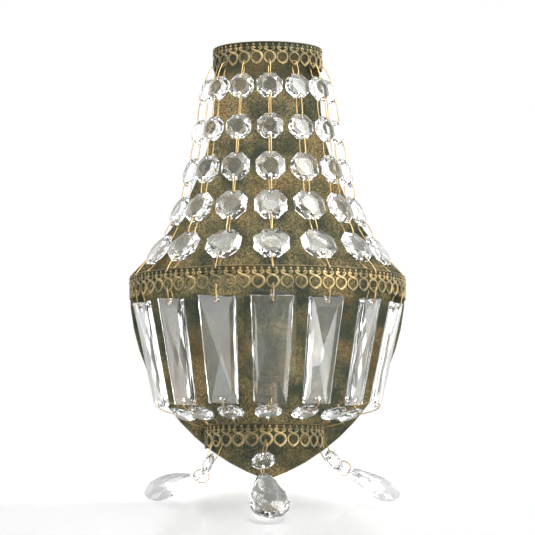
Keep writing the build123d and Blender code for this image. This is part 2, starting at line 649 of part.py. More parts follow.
with BuildPart() as lamp_arm:
    with BuildLine(Plane.YZ) as arm_line:
        Polyline(
            (arm_start, level(ARM_HEIGHT)),
            (lamp_y + ARM_BEND, level(ARM_HEIGHT)),
            (lamp_y, level(ARM_HEIGHT) + ARM_BEND),
            (lamp_y, level(arm_top)),
        )
    with BuildSketch(Plane(origin=(0, arm_start, level(ARM_HEIGHT)), x_dir=(1, 0, 0), z_dir=(0, -1, 0))):
        RegularPolygon(ARM / 2, TUBE_SIDES)
        RegularPolygon(ARM / 2 - ARM_WALL, TUBE_SIDES, mode=Mode.SUBTRACT)
    sweep(transition=Transition.RIGHT)
write(lamp_arm, "lamp_arm")

with BuildPart() as arm_nuts:
    for face in (-inner_face - ARM_NUT_HEIGHT, PAN_DEPTH):
        with BuildSketch(Plane.XZ.offset(face)):
            with Locations((0, level(ARM_HEIGHT))):
                RegularPolygon(ARM_NUT_WIDTH / 2, 6, major_radius=False)
                RegularPolygon(ARM / 2 + FIT, TUBE_SIDES, mode=Mode.SUBTRACT)
    extrude(amount=ARM_NUT_HEIGHT)
write(arm_nuts, "arm_nuts")


def lamp_disc(height, radius, sides=CUP_SIDES):
    """A round sketch across the lamp's axis, drawn with flats unless sides is 0."""
    with BuildSketch(Plane.XY.offset(level(height))) as disc:
        with Locations((0, lamp_y)):
            if sides:
                RegularPolygon(radius, sides)
            else:
                Circle(radius)
    return disc.sketch


with BuildPart() as lamp_cup:
    extrude(lamp_disc(CUP_FOOT, CUP / 2), amount=CUP_TOP - CUP_FOOT)
    chamfer(lamp_cup.faces().sort_by(Axis.Z)[0].edges(), length=CUP_ROUND)
    offset(openings=lamp_cup.faces().sort_by(Axis.Z)[-1], amount=-CUP_WALL)
    extrude(lamp_disc(CUP_FOOT, ARM / 2 + FIT, TUBE_SIDES), amount=2 * CUP_WALL, mode=Mode.SUBTRACT)
write(lamp_cup, "lamp_cup")

shell_top = HOLDER_TOP - SHEET
shell_foot = shell_top - SOCKET_DEPTH
contact_foot = shell_foot - 2 * SHEET
shell_outer = SOCKET / 2 + SHELL_WALL
with BuildPart() as lampholder:
    extrude(lamp_disc(holder_foot, HOLDER / 2), amount=HOLDER_TOP - holder_foot)
    extrude(lamp_disc(contact_foot, shell_outer + FIT), amount=HOLDER_TOP - contact_foot, mode=Mode.SUBTRACT)
    extrude(
        lamp_disc(holder_foot, ARM / 2 + FIT, TUBE_SIDES),
        amount=arm_top + SHEET - holder_foot,
        mode=Mode.SUBTRACT,
    )
    extrude(
        lamp_disc(holder_foot, LEAD / 2 + 2 * FIT, SMALL_SIDES),
        amount=contact_foot - holder_foot,
        mode=Mode.SUBTRACT,
    )
write(lampholder, "lampholder")

with BuildPart() as screw_shell:
    extrude(lamp_disc(shell_foot, shell_outer), amount=SOCKET_DEPTH)
    extrude(lamp_disc(shell_foot, SOCKET / 2, sides=0), amount=SOCKET_DEPTH, mode=Mode.SUBTRACT)
write(screw_shell, "screw_shell")

with BuildPart() as centre_contact:
    extrude(lamp_disc(contact_foot, SOCKET / 4, SMALL_SIDES), amount=2 * SHEET)
write(centre_contact, "centre_contact")

lead_y = -BRACKET_THICKNESS - LEAD / 2 - SHEET
lead_top = TERMINAL_CENTRE - TERMINAL[2] / 2
lead_points = [
    (TERMINAL_PITCH, lead_y, lead_top),
    (TERMINAL_PITCH, lead_y, lead_top - LEAD_BENDS[0]),
    (TERMINAL_PITCH + LEAD_SWAY, lead_y - LEAD_LIFT, lead_top - LEAD_BENDS[1]),
    (TERMINAL_PITCH / 2, lead_y, lead_top - LEAD_BENDS[2]),
    (0, lead_y + LEAD_LIFT, level(ARM_HEIGHT) + LEAD_ENTRY),
    (0, lead_y + LEAD_LIFT, level(ARM_HEIGHT)),
    (0, lamp_y + ARM_BEND, level(ARM_HEIGHT)),
    (0, lamp_y, level(ARM_HEIGHT) + ARM_BEND),
    (0, lamp_y, level(arm_top + SHEET)),
]
with BuildPart() as lamp_lead:
    with BuildLine() as lead_line:
        FilletPolyline(*lead_points, radius=LEAD_RADII)
    with BuildSketch(Plane(origin=lead_points[0], x_dir=(1, 0, 0), z_dir=(0, 0, -1))):
        RegularPolygon(LEAD / 2, 4)
    sweep()
write(lamp_lead, "lamp_lead")
lead_length = sum(edge.length for edge in lead_line.edges())
lead_section = 2 * (LEAD / 2) ** 2
print("lead radii", LEAD_RADII)
print("lead volume share", lamp_lead.part.volume / (lead_section * lead_length))
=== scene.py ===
"""Looks of the crystal wall sconce: patinated pan, pierced lace galleries, cut crystals and brass wire."""

import json
import math

import bmesh
import bpy
import numpy as np
from mathutils import Matrix, Vector


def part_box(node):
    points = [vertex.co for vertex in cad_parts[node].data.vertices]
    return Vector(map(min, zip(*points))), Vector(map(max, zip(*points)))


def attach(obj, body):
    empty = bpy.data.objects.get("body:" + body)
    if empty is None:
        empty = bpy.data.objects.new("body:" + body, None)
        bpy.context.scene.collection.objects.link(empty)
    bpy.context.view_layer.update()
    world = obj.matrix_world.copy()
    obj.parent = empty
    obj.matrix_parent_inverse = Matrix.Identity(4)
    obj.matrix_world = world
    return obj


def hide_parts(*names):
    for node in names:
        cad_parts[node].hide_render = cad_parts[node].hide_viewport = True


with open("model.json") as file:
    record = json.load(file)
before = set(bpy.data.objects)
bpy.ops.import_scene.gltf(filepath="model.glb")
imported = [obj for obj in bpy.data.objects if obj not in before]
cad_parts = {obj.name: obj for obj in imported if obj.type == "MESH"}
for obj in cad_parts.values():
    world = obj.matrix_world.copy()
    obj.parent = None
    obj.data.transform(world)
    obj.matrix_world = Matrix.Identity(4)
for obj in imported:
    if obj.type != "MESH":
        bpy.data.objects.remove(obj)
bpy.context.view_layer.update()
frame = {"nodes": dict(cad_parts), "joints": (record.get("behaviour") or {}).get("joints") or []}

# ================================================================ back pan
# The shield-shaped pan is sheet iron, painted dark verdigris green and then brushed by hand with gold, so
# that short strokes cross each other and the green shows between them. Its rim is turned back to the wall.
MM = 0.001
nodes = frame["nodes"]


class Socket:
    """A socket of a material. Arithmetic on it adds Math nodes."""

    def __init__(self, tree, socket=None):
        self.tree = tree
        self.socket = socket

    def add(self, kind, inputs, settings=None, out=0):
        """Adds one node: its settings first, then the values or links of its inputs."""
        node = self.tree.nodes.new(kind)
        for name, value in (settings or {}).items():
            if name == "stops":
                ramp = node.color_ramp.elements
                while len(ramp) < len(value):
                    ramp.new(0.5)
                for element, (position, colour) in zip(ramp, value):
                    element.position = position
                    element.color = (*colour, 1)
            else:
                setattr(node, name, value)
        for name, value in inputs.items():
            if isinstance(value, Socket):
                self.tree.links.new(value.socket, node.inputs[name])
            else:
                node.inputs[name].default_value = value
        return Socket(self.tree, node.outputs[out])

    def maths(self, operation, *values):
        return self.add("ShaderNodeMath", dict(enumerate(values)), {"operation": operation})

    def __add__(self, other):
        return self.maths("ADD", self, other)

    def __sub__(self, other):
        return self.maths("SUBTRACT", self, other)

    def __rsub__(self, other):
        return self.maths("SUBTRACT", other, self)

    def __mul__(self, other):
        return self.maths("MULTIPLY", self, other)

    __radd__ = __add__
    __rmul__ = __mul__

    def clear_of(self, low, high):
        """0 below low, 1 above high, and a smooth step between them."""
        settings = {"interpolation_type": "SMOOTHSTEP", "clamp": True}
        return self.add("ShaderNodeMapRange", {"Value": self, "From Min": low, "From Max": high}, settings)

    def noise(self, place, scale, detail=3.0, roughness=0.55):
        """Noise from 0 to 1, its scale in features to a metre."""
        inputs = {"Vector": place, "Scale": scale, "Detail": detail, "Roughness": roughness}
        return self.add("ShaderNodeTexNoise", inputs)

    def mixed(self, factor, first, second):
        settings = {"data_type": "RGBA"}
        pair = [c if isinstance(c, Socket) else (*c, 1) for c in (first, second)]
        return self.add("ShaderNodeMix", {0: factor, 6: pair[0], 7: pair[1]}, settings, out=2)


def started(name):
    """A new material, with a bare socket to build on, its object coordinates and its shader."""
    material = bpy.data.materials.new(name)
    material.use_nodes = True
    bare = Socket(material.node_tree)
    place = bare.add("ShaderNodeTexCoord", {}, out="Object")
    return material, bare, place, material.node_tree.nodes["Principled BSDF"]


def joined(shader, **links):
    """Links sockets to the shader's inputs, named with underscores for spaces."""
    for name, value in links.items():
        value.tree.links.new(value.socket, shader.inputs[name.replace("_", " ")])


CLOUD_SCALE = 30.0
WEAR_SCALE = 60.0
GRAIN_SCALE = 420.0
SPECK_SCALE = 1000.0
# The paint from its darkest green to where it has browned.
PAINT_STOPS = ((0.38, (0.022, 0.042, 0.034)), (0.5, (0.052, 0.066, 0.042)), (0.62, (0.105, 0.072, 0.032)))
GOLD_DEEP = (0.4, 0.28, 0.11)
GOLD_PALE = (0.72, 0.56, 0.28)
# Three sets of brush strokes: each one's turn in radians, and the noise above which it leaves gold.
STROKE_SETS = ((0.6, 0.48), (-0.75, 0.5), (1.3, 0.54))
STROKE_EDGE = 0.12
STROKE_WIDE = 0.8 * MM
STROKE_LONG = 3.6 * MM
# Painted shade near the two upper galleries: the pan gets less gold, so it is darker, from this far below the
# top gallery's lower edge all the way up, and from this far below the middle gallery's lower edge up to that
# edge.
TOP_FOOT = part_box("top_band")[0].z
TOP_PAINTED_SHADE = 14.0 * MM
MIDDLE_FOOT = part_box("middle_band")[0].z
MIDDLE_PAINTED_SHADE = 90.0 * MM
PAINTED_SHADE_FADE = 4.0 * MM
BRUSH_BUMP = 0.4 * MM


def brushed_patina(name, rubbed_and_highlit=False):
    """Dark verdigris paint brushed with gold, with painted shade (less gold) near the two upper galleries. On
    the lace, metal further to the front shows more of the gold: rubbed gilding and a painted highlight.
    """
    material, bare, place, shader = started(name)
    cloud = bare.noise(place, CLOUD_SCALE, 2.0)
    grain = bare.noise(place, GRAIN_SCALE, 3.0)
    speck = bare.noise(place, SPECK_SCALE, 2.0).clear_of(0.45, 0.62)
    ground = bare.add("ShaderNodeValToRGB", {0: cloud * 0.8 + grain * 0.2}, {"stops": PAINT_STOPS})
    strokes = None
    for turn, bare_below in STROKE_SETS:
        turned = bare.add(
            "ShaderNodeMapping",
            {"Vector": place, "Rotation": (0, turn, 0), "Scale": (STROKE_WIDE, STROKE_WIDE, STROKE_LONG)},
            {"vector_type": "TEXTURE"},
        )
        stroke = bare.noise(turned, 1.0, 2.0).clear_of(bare_below, bare_below + STROKE_EDGE)
        strokes = stroke if strokes is None else bare.maths("MAXIMUM", strokes, stroke)
    worn_here = bare.noise(place, WEAR_SCALE, 3.0).clear_of(0.34, 0.66)
    height = bare.add("ShaderNodeSeparateXYZ", {0: place}, out=2)
    shade_from_top = height.clear_of(TOP_FOOT - TOP_PAINTED_SHADE, TOP_FOOT)
    shade_under_middle = height.clear_of(MIDDLE_FOOT - MIDDLE_PAINTED_SHADE, MIDDLE_FOOT)
    middle_shade_cutoff = height.clear_of(MIDDLE_FOOT, MIDDLE_FOOT + PAINTED_SHADE_FADE)
    painted_shade = shade_from_top + shade_under_middle * (1 - middle_shade_cutoff)
    # Painted shade: the brushed gold drops by up to 0.55 of itself near the upper galleries.
    gold = (strokes * 0.4 + speck * 0.6) * (worn_here * 0.75 + 0.2) * (1 - painted_shade * 0.55)
    if rubbed_and_highlit:
        # Painted highlight: metal further to the front gets more gold, standing in for light on each strand
        # as well as rubbed gilding.
        relief = bare.add("ShaderNodeAttribute", {}, {"attribute_name": "relief"}, out="Fac")
        patch = bare.noise(place, WEAR_SCALE, 2.0).clear_of(0.38, 0.62)
        gold = bare.maths("MINIMUM", gold * 0.16 + relief * (patch * 0.45 + 0.5) * (speck * 0.4 + 0.75), 1.0)
    bump = {"Height": grain + gold * 0.5, "Strength": 0.3, "Distance": BRUSH_BUMP}
    joined(
        shader,
        Base_Color=bare.mixed(gold, ground, bare.mixed(grain, GOLD_DEEP, GOLD_PALE)),
        Metallic=gold * 0.5,
        Roughness=0.5 - gold * 0.14,
        Normal=bare.add("ShaderNodeBump", bump),
    )
    shader.inputs["Specular IOR Level"].default_value = 0.15
    return material


def dressed(node, material):
    """Gives a CAD node its material."""
    nodes[node].data.materials.clear()
    nodes[node].data.materials.append(material)


dressed("back_plate", brushed_patina("pan_patina"))

# ================================================================ pierced lace galleries
# Each gallery is a strip of stamped brass lace, bent to a half round and riveted to the pan. It has a beaded
# edge above, crossed scrolls, then a row of rings with a small drop of metal under each. It is painted and
# rubbed as the pan is. Its metal nearest the front is the brightest: rubbed gold with a painted highlight
# along each strand.
RING_PITCH = {"top_band": 13.6, "middle_band": 5.8, "bottom_band": 13.5}  # degrees from ring to ring
RING_COUNT = {"top_band": 13, "middle_band": 31, "bottom_band": 13}
RING_DROP = 10.0  # millimetres from a gallery's top edge to the centres of its rings
HALF_SHEET = 0.6  # millimetres, half the thickness of a gallery's strip
LACE_WIRE = 0.92  # radius
# Half of a ring and its scroll, in millimetres about the ring's centre, for lace with rings 8.1 mm apart.
DRAWN_PITCH = 8.1
SCROLL = (
    (-1.2, 5.6),
    (-1.7, 6.6),
    (-3.0, 6.6),
    (-3.2, 5.2),
    (-1.6, 4.3),
    (0.6, 3.5),
    (2.8, 2.7),
    (3.7, 0.2),
    (2.7, -2.5),
    (0.9, -3.5),
    (0, -3.8),
)
CROSSING = 0.1  # how far the one half stands in front where they cross, and the other behind
PICOT = (0.85, -4.1)  # the drop under a ring: radius and height
EDGE_BEAD = (0.95, 8.0)  # the beads of the edge, two to a ring
LACE_RAILS = ((9.5, 0.5), (6.5, 0.38))  # the wires along the edge beads: height and radius
RAIL_FRONT = 0.15
STRIP_MIDDLE = 6.9  # the plain strip behind the scrolls
STRIP_HALF = 2.7
STRIP_THICK = 0.5
TAB_SIZE = (7.6, 1.0, 14.0)  # the ends that lie flat on the pan
TAB_IN = 4.2  # from a gallery's line in to the middle of its tab
TAB_DROP = 7.3
RELIEF_LOW = 0.45  # metal this far to the front starts to take rubbed gold and a painted highlight
RELIEF_RISE = 0.4


def add_wires(bm, splines, radius, closed, sides=2, order=4, steps=3):
    """Adds round wires to a bmesh. They follow NURBS curves, each given by its control points."""
    curve = bpy.data.curves.new("wires", "CURVE")
    curve.dimensions = "3D"
    curve.bevel_depth = radius
    curve.bevel_resolution = sides
    curve.use_fill_caps = True
    for points in splines:
        spline = curve.splines.new("NURBS")
        spline.points.add(len(points) - 1)
        for point, spot in zip(spline.points, points):
            point.co = (*spot, 1)
        spline.order_u = order
        spline.resolution_u = steps
        spline.use_cyclic_u = closed
        spline.use_endpoint_u = not closed
    carrier = bpy.data.objects.new("wires", curve)
    mesh = bpy.data.meshes.new_from_object(carrier)
    bpy.data.objects.remove(carrier)
    bm.from_mesh(mesh)
    bpy.data.meshes.remove(mesh)


def piece(name, bm, material, body, replaced, smooth=True):
    """Makes a mesh object from a finished bmesh, dresses it and lets it ride on its body."""
    mesh = bpy.data.meshes.new(name)
    for face in bm.faces:
        face.smooth = smooth
    bm.to_mesh(mesh)
    bm.free()
    mesh.materials.append(material)
    made = bpy.data.objects.new(name, mesh)
    bpy.context.scene.collection.objects.link(made)
    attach(made, body)
    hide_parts(replaced)


def lace_unit(pitch):
    """One ring of the lace with the crossed scrolls above it, flat, about the ring's centre."""
    wide = pitch / DRAWN_PITCH
    over = [(x * wide, y, CROSSING) for x, y in SCROLL]
    under = [(-x * wide, y, -CROSSING) for x, y in SCROLL]
    unit = bmesh.new()
    add_wires(unit, [over, under], LACE_WIRE, closed=False)
    radius, height = PICOT
    spot = Matrix.Translation((0, height, 0))
    bmesh.ops.create_icosphere(unit, subdivisions=2, radius=radius, matrix=spot)
    radius, height = EDGE_BEAD
    for side in (-0.25, 0.25):
        spot = Matrix.Translation((side * pitch, height, CROSSING))
        bmesh.ops.create_icosphere(unit, subdivisions=2, radius=radius, matrix=spot)
    return unit


def flat_lace(count, pitch, half):
    """A gallery's lace laid out flat, in millimetres, with its strip and rails out to half on either side."""
    lace = lace_unit(pitch)
    first = lace.verts[:] + lace.edges[:] + lace.faces[:]
    for step in range(1, count):
        copied = bmesh.ops.duplicate(lace, geom=first)["geom"]
        verts = [v for v in copied if isinstance(v, bmesh.types.BMVert)]
        bmesh.ops.translate(lace, verts=verts, vec=(step * pitch, 0, 0))
    bmesh.ops.translate(lace, verts=lace.verts, vec=(-(count - 1) / 2 * pitch, 0, 0))
    runs = 4 * count
    for height, thick in LACE_RAILS:
        rail = [(-half + 2 * half * i / runs, height, RAIL_FRONT) for i in range(runs + 1)]
        add_wires(lace, [rail], thick, closed=False, sides=1, order=2, steps=1)
    wall = bmesh.ops.create_grid(lace, x_segments=runs, y_segments=2, size=1)["verts"]
    bmesh.ops.scale(lace, verts=wall, vec=(half, STRIP_HALF, 1))
    bmesh.ops.translate(lace, verts=wall, vec=(0, STRIP_MIDDLE, CROSSING))
    skin = list({face for vert in wall for face in vert.link_faces})
    backed = bmesh.ops.extrude_face_region(lace, geom=skin)["geom"]
    behind = [v for v in backed if isinstance(v, bmesh.types.BMVert)]
    bmesh.ops.translate(lace, verts=behind, vec=(0, 0, -STRIP_THICK))
    # How far each point stands to the front, from 0 to 1; it sets the lace's rubbed gold and painted
    # highlight.
    relief = lace.verts.layers.float.new("relief")
    for vert in lace.verts:
        vert[relief] = min(max((vert.co.z - RELIEF_LOW) / RELIEF_RISE, 0), 1)
    return lace


lace_patina = brushed_patina("lace_patina", rubbed_and_highlit=True)
for band, pitch_angle in RING_PITCH.items():
    low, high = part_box(band)
    shift = (high.x + low.x) / 2 / MM
    radius = (high.x - low.x) / 2 / MM - HALF_SHEET
    pan_face = Vector((0, high.y, high.z))
    lace = flat_lace(RING_COUNT[band], math.radians(pitch_angle) * radius, math.pi / 2 * radius)
    for vert in lace.verts:
        x, y, z = vert.co
        azimuth = x / radius
        spot = (
            shift + (radius + z) * math.sin(azimuth),
            -(radius + z) * math.cos(azimuth),
            y - RING_DROP,
        )
        vert.co = Vector(spot) * MM + pan_face
    for side in (-1, 1):
        tab = bmesh.ops.create_cube(lace, size=1)["verts"]
        bmesh.ops.scale(lace, verts=tab, vec=Vector(TAB_SIZE) * MM)
        middle = Vector((shift + side * (radius - TAB_IN), -HALF_SHEET, -TAB_DROP))
        bmesh.ops.translate(lace, verts=tab, vec=middle * MM + pan_face)
    bmesh.ops.recalc_face_normals(lace, faces=lace.faces)
    piece(band + "_lace", lace, lace_patina, "sconce", band)

# ================================================================ rivets, bracket and wiring
# Hidden or small hardware keeps its CAD solids: brass rivets and cap nuts on the face, behind the pan a
# zinc-plated bracket, its studs and nuts, a rubber grommet, a moulded terminal block and the lead, and in
# the lampholder its brass screw shell and contact.


def worn_finish(name, light, dark, grain, metallic, roughness):
    """A finish that drifts between two colours, with a fine grain in its gloss and its surface."""
    material, bare, place, shader = started(name)
    drift = bare.noise(place, grain * 0.12, 3.0).clear_of(0.35, 0.65)
    fine = bare.noise(place, grain, 4.0)
    joined(
        shader,
        Base_Color=bare.mixed(drift, light, dark),
        Roughness=fine * 0.16 + drift * 0.06 + (roughness - 0.1),
        Normal=bare.add("ShaderNodeBump", {"Height": fine, "Strength": 0.2, "Distance": 0.2 * MM}),
    )
    shader.inputs["Metallic"].default_value = metallic
    return material


aged_brass = worn_finish("aged_brass", (0.3, 0.21, 0.08), (0.09, 0.08, 0.04), 700, 0.8, 0.42)
zinc = worn_finish("zinc_steel", (0.56, 0.57, 0.58), (0.4, 0.41, 0.43), 500, 1.0, 0.36)
rubber = worn_finish("grommet_rubber", (0.03, 0.03, 0.03), (0.045, 0.044, 0.042), 900, 0.0, 0.7)
block_plastic = worn_finish("terminal_resin", (0.74, 0.73, 0.69), (0.66, 0.65, 0.6), 600, 0.0, 0.5)
sleeve = worn_finish("lead_sleeve", (0.5, 0.5, 0.47), (0.36, 0.35, 0.33), 1600, 0.0, 0.8)
contact_brass = worn_finish("contact_brass", (0.6, 0.42, 0.16), (0.45, 0.3, 0.11), 500, 1.0, 0.3)
for node in ("band_rivets", "cap_nuts"):
    dressed(node, aged_brass)
for node in ("wall_bracket", "studs", "stud_nuts", "terminal_screws", "arm_nuts"):
    dressed(node, zinc)
dressed("cable_grommet", rubber)
dressed("terminal_block", block_plastic)
dressed("lamp_lead", sleeve)
for node in ("screw_shell", "centre_contact"):
    dressed(node, contact_brass)

# ================================================================ lamp arm, cup and holder
# A bent tube from the pan carries a spun metal cup, both painted and brushed as the pan is. The moulded
# holder stands in the cup, with a small brass screw shell for the lamp, behind the middle prism.
WELD = 1e-6  # metres: corners nearer than this are one
ARM_HOLE = 4.7
CUP_ROUND = 7  # radius of the round between the cup's foot and its wall
CUP_FOOT = 0.9  # thickness of the foot
CUP_WALL = 1
CUP_LIP = 0.8  # height of the rounded lip
HOLDER_WIDE = 12.3
HOLDER_BEVEL = 0.8
SHELL_ROOM = 7.7  # radius of the room for the screw shell
SHELL_DEPTH = 27
ARM_BEND = 6 * MM  # from the arm's elbow to the start and the end of its bend
ARM_STRAIGHT = (16 * MM, 12 * MM)  # from the elbow to a point of the straight run behind it, and above it
cup_low, cup_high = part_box("lamp_cup")
axis = Vector((0, (cup_low.y + cup_high.y) / 2, 0))


def turned_shut(bm, centre, steps):
    """Spins the outline in a bmesh once round the upright line through centre, and welds it."""
    outline = bm.verts[:] + bm.edges[:]
    bmesh.ops.spin(
        bm, geom=outline, cent=centre, axis=(0, 0, 1), angle=math.tau, steps=steps, use_merge=True
    )
    bmesh.ops.remove_doubles(bm, verts=bm.verts, dist=WELD)
    bmesh.ops.recalc_face_normals(bm, faces=bm.faces)


def spun(profile):
    """Spins a profile of (radius, height) in millimetres round the lamp's axis, from the cup's foot up."""
    bm = bmesh.new()
    verts = [bm.verts.new(axis + Vector((r * MM, 0, cup_low.z + h * MM))) for r, h in profile]
    for first, second in zip(verts, verts[1:] + verts[:1]):
        bm.edges.new((first, second))
    turned_shut(bm, axis, 48)
    return bm


cup_tall = (cup_high.z - cup_low.z) / MM
cup_wide = (cup_high.x - cup_low.x) / 2 / MM
round_foot = [
    (cup_wide - CUP_ROUND + CUP_ROUND * math.sin(turn), CUP_ROUND - CUP_ROUND * math.cos(turn))
    for turn in (0, 0.35, 0.7, 1.05, 1.3, math.pi / 2)
]
inside_foot = [(r - CUP_WALL if h else r, h + CUP_FOOT) for r, h in reversed(round_foot)]
cup_profile = [
    (ARM_HOLE, 0),
    *round_foot,
    (cup_wide, cup_tall - CUP_LIP),
    (cup_wide - 0.3, cup_tall),
    (cup_wide - 0.9, cup_tall),
    (cup_wide - CUP_WALL, cup_tall - 0.6),
    *inside_foot,
    (ARM_HOLE, CUP_FOOT),
]
# The cup and arm take the pan's finish, painted shade under the middle gallery included, so they are darker
# near it.
dark_green_painted_shade = brushed_patina("dark_cup")
piece("cup", spun(cup_profile), dark_green_painted_shade, "sconce", "lamp_cup")

holder_low, holder_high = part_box("lampholder")
foot = (holder_low.z - cup_low.z) / MM
head = (holder_high.z - cup_low.z) / MM
holder_profile = [
    (ARM_HOLE, foot),
    (HOLDER_WIDE - HOLDER_BEVEL, foot),
    (HOLDER_WIDE, foot + 1),
    (HOLDER_WIDE, head - 1.2),
    (HOLDER_WIDE - 0.9, head),
    (SHELL_ROOM, head),
    (SHELL_ROOM, head - SHELL_DEPTH),
    (ARM_HOLE, head - SHELL_DEPTH - 1),
]
resin = worn_finish("holder_resin", (0.05, 0.05, 0.032), (0.032, 0.036, 0.024), 700, 0.0, 0.62)
piece("holder", spun(holder_profile), resin, "sconce", "lampholder")

arm_low, arm_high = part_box("lamp_arm")
tube = (arm_high.x - arm_low.x) / 2
elbow = Vector((0, arm_low.y + tube, arm_low.z + tube))
arm_line = [
    Vector((0, arm_high.y, elbow.z)),
    elbow + Vector((0, ARM_STRAIGHT[0], 0)),
    elbow + Vector((0, ARM_BEND, 0)),
    elbow + Vector((0, 0, ARM_BEND)),
    elbow + Vector((0, 0, ARM_STRAIGHT[1])),
    Vector((0, elbow.y, arm_high.z)),
]
arm = bmesh.new()
add_wires(arm, [arm_line], tube, closed=False, sides=6, steps=6)
piece("arm", arm, dark_green_painted_shade, "sconce", "lamp_arm")

# ================================================================ cut crystals
# Clear pressed and polished lead glass: octagon beads with two holes, long prisms with crossed facets, and
# flat almonds. Facets are true planes, and every hole is drilled right through for its wire.
HOLE_TO_EDGE = 2.2  # from a bead's edge to the middle of its hole
BEAD_BORE = 1.15  # radius
PRISM_BORE = 1.3
# Rows of an octagon's corners: share of its size, height, and turn in half sides.
OCTAGON_ROWS = ((1, 0.35, 1), (0.78, 1.6, 0), (0.5, 2.6, 1))


def crystal_glass():
    """Clear crystal, with the least breath of grease and wear in its polish."""
    material, bare, place, shader = started("crystal")
    smear = bare.noise(place, 160.0, 3.0)
    joined(
        shader,
        Base_Color=bare.mixed(smear, (0.78, 0.8, 0.79), (0.86, 0.87, 0.86)),
        Roughness=smear.clear_of(0.55, 0.8) * 0.05,
    )
    shader.inputs["Transmission Weight"].default_value = 1.0
    shader.inputs["IOR"].default_value = 1.56
    return material


def ring_of(bm, count, radius, height, turn):
    """Corners of a regular outline, to be wrapped later."""
    turned = Matrix.Rotation(turn, 4, "Z") @ Matrix.Translation((0, 0, height))
    return bmesh.ops.create_circle(bm, segments=count, radius=radius, matrix=turned)["verts"]


def wrapped(bm):
    """Wraps the corners of a bmesh in flat facets."""
    bmesh.ops.convex_hull(bm, input=bm.verts)
    loose = [v for v in bm.verts if not v.link_faces]
    bmesh.ops.delete(bm, geom=loose, context="VERTS")
    bmesh.ops.dissolve_limit(bm, angle_limit=0.002, verts=bm.verts, edges=bm.edges)
    bmesh.ops.recalc_face_normals(bm, faces=bm.faces)
    return bm


def drilled(bm, holes, bore=BEAD_BORE):
    """A mesh of a wrapped crystal, in millimetres, with round holes drilled along Z."""
    blank = bpy.data.objects.new("blank", bpy.data.meshes.new("blank"))
    bm.to_mesh(blank.data)
    bm.free()
    drill_bm = bmesh.new()
    for hole in holes:
        spot = Matrix.Translation((0, hole, 0))
        bmesh.ops.create_cone(
            drill_bm, cap_ends=True, segments=12, radius1=bore, radius2=bore, depth=20, matrix=spot
        )
    drill = bpy.data.objects.new("drill", bpy.data.meshes.new("drill"))
    drill_bm.to_mesh(drill.data)
    drill_bm.free()
    for thing in (blank, drill):
        bpy.context.scene.collection.objects.link(thing)
    cut = blank.modifiers.new("cut", "BOOLEAN")
    cut.operation = "DIFFERENCE"
    cut.object = drill
    mesh = bpy.data.meshes.new_from_object(blank.evaluated_get(bpy.context.evaluated_depsgraph_get()))
    for thing in (blank, drill):
        bpy.data.objects.remove(thing)
    return mesh


def octagon(width):
    """An octagon bead, its flats width apart: a girdle, eight kites, and a table turned as the girdle is."""
    bm = bmesh.new()
    corner = width / 2 / math.cos(math.pi / 8)
    for face in (1, -1):
        for share, height, half_sides in OCTAGON_ROWS:
            ring_of(bm, 8, corner * share, face * height, half_sides * math.pi / 8)
    return drilled(wrapped(bm), (width / 2 - HOLE_TO_EDGE, HOLE_TO_EDGE - width / 2))


def bits_of(node):
    """The separate solids of a CAD node, each as an array of its corners, from the highest down."""
    bm = bmesh.new()
    bm.from_mesh(nodes[node].data)
    bmesh.ops.remove_doubles(bm, verts=bm.verts, dist=WELD)
    seen = set()
    bits = []
    for start in bm.verts:
        if start in seen:
            continue
        seen.add(start)
        reached = [start]
        for vert in reached:
            for edge in vert.link_edges:
                other = edge.other_vert(vert)
                if other not in seen:
                    seen.add(other)
                    reached.append(other)
        bits.append(np.array([v.co for v in reached]))
    bm.free()
    return sorted(bits, key=lambda bit: -bit[:, 2].mean())


def lie_of(corners, head=Vector((0, 0, 1))):
    """Where a crystal lies: a matrix whose X, Y and Z are its width, length and thickness, and its sizes.
    Its length points towards head."""
    spread = np.linalg.eigh(np.cov((corners - corners.mean(0)).T))[1]
    thin, wide, long = (Vector(spread[:, i]) for i in range(3))
    if long.dot(head) < 0:
        long = -long
    wide = long.cross(thin)
    turn = Matrix((wide, long, thin)).transposed()
    reach = corners @ np.array(turn)
    sizes = reach.max(0) - reach.min(0)
    middle = turn @ Vector((reach.max(0) + reach.min(0)) / 2)
    return Matrix.Translation(middle) @ turn.to_4x4(), sizes / MM


def laid(bm, template, lie):
    """Adds a copy of a crystal, modelled in millimetres, where its CAD solid lies."""
    copied = template.copy()
    copied.transform(lie @ Matrix.Scale(MM, 4))
    bm.from_mesh(copied)
    bpy.data.meshes.remove(copied)


crystal = crystal_glass()
octagons = {}


def bead_piece(name, node, body):
    """Cut octagons for each bead of a node, one template for each width."""
    bm = bmesh.new()
    for corners in bits_of(node):
        lie, sizes = lie_of(corners)
        width = round(float(sizes[0]), 1)
        if width not in octagons:
            octagons[width] = octagon(width)
        laid(bm, octagons[width], lie)
    piece(name, bm, crystal, body, node, smooth=False)


for number in range(1, 8):
    bead_piece(f"octagons_{number}", f"string_beads_{number}", "sconce")
bead_piece("tie_octagons", "tie_beads", "sconce")

